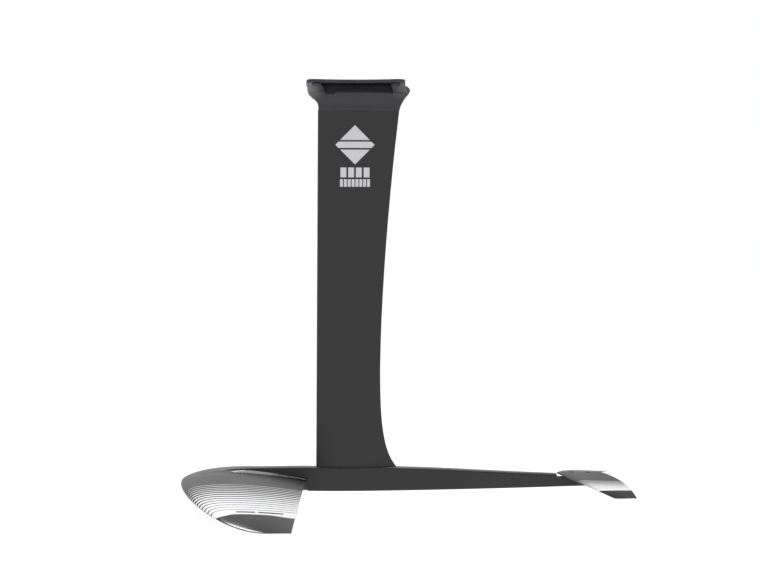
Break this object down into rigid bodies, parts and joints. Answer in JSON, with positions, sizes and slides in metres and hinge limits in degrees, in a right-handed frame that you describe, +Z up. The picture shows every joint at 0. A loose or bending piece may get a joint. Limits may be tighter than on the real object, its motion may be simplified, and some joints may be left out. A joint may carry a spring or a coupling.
{
  "type": "hydrofoil",
  "caption": "Water-sports hydrofoil: top plate with board-bolt slots, deep hollow-waisted mast, tapered fuselage, wide drooped front wing and small swept stabiliser.",
  "frame": {"origin": "centre of the top plate's mounting face, which is the centre of its board-bolt pattern", "axes": "+X aft, +Y to starboard, +Z up out of the mounting face; the mast hangs down to the wings"},
  "size_m": [0.9348, 0.84, 0.89],
  "materials": {
    "carbon_satin": "satin",
    "carbon_head": "satin",
    "wing_print": "gloss",
    "laminate": "matte",
    "foam": "matte",
    "shim_black": "matte",
    "steel": "satin",
    "brass_insert": "satin"
  },
  "bodies": {
    "root": {"top_plate": "carbon_head", "head_screws": "steel", "head_inserts": "brass_insert", "mast_skin": "carbon_satin", "mast_head_block": "laminate", "mast_spar": "laminate", "mast_core_front": "foam", "mast_core_rear": "foam", "mast_foot_block": "laminate", "foot_inserts": "brass_insert", "mast_screws": "steel", "fuselage_shell": "carbon_satin", "fuselage_nose_block": "laminate", "fuselage_mast_block": "laminate", "fuselage_core": "foam", "fuselage_tail_block": "laminate", "wing_screws": "steel", "wing_inserts": "brass_insert", "tail_inserts": "brass_insert", "front_wing_hub": "carbon_satin", "front_wing_upper_skin": "wing_print", "front_wing_lower_skin": "wing_print", "front_wing_core_left": "foam", "front_wing_core_right": "foam", "stabiliser_upper_skin": "wing_print", "stabiliser_lower_skin": "wing_print", "stabiliser_cores": "foam", "stabiliser_shim": "shim_black", "stabiliser_screws": "steel"}
  },
  "joints": []
}
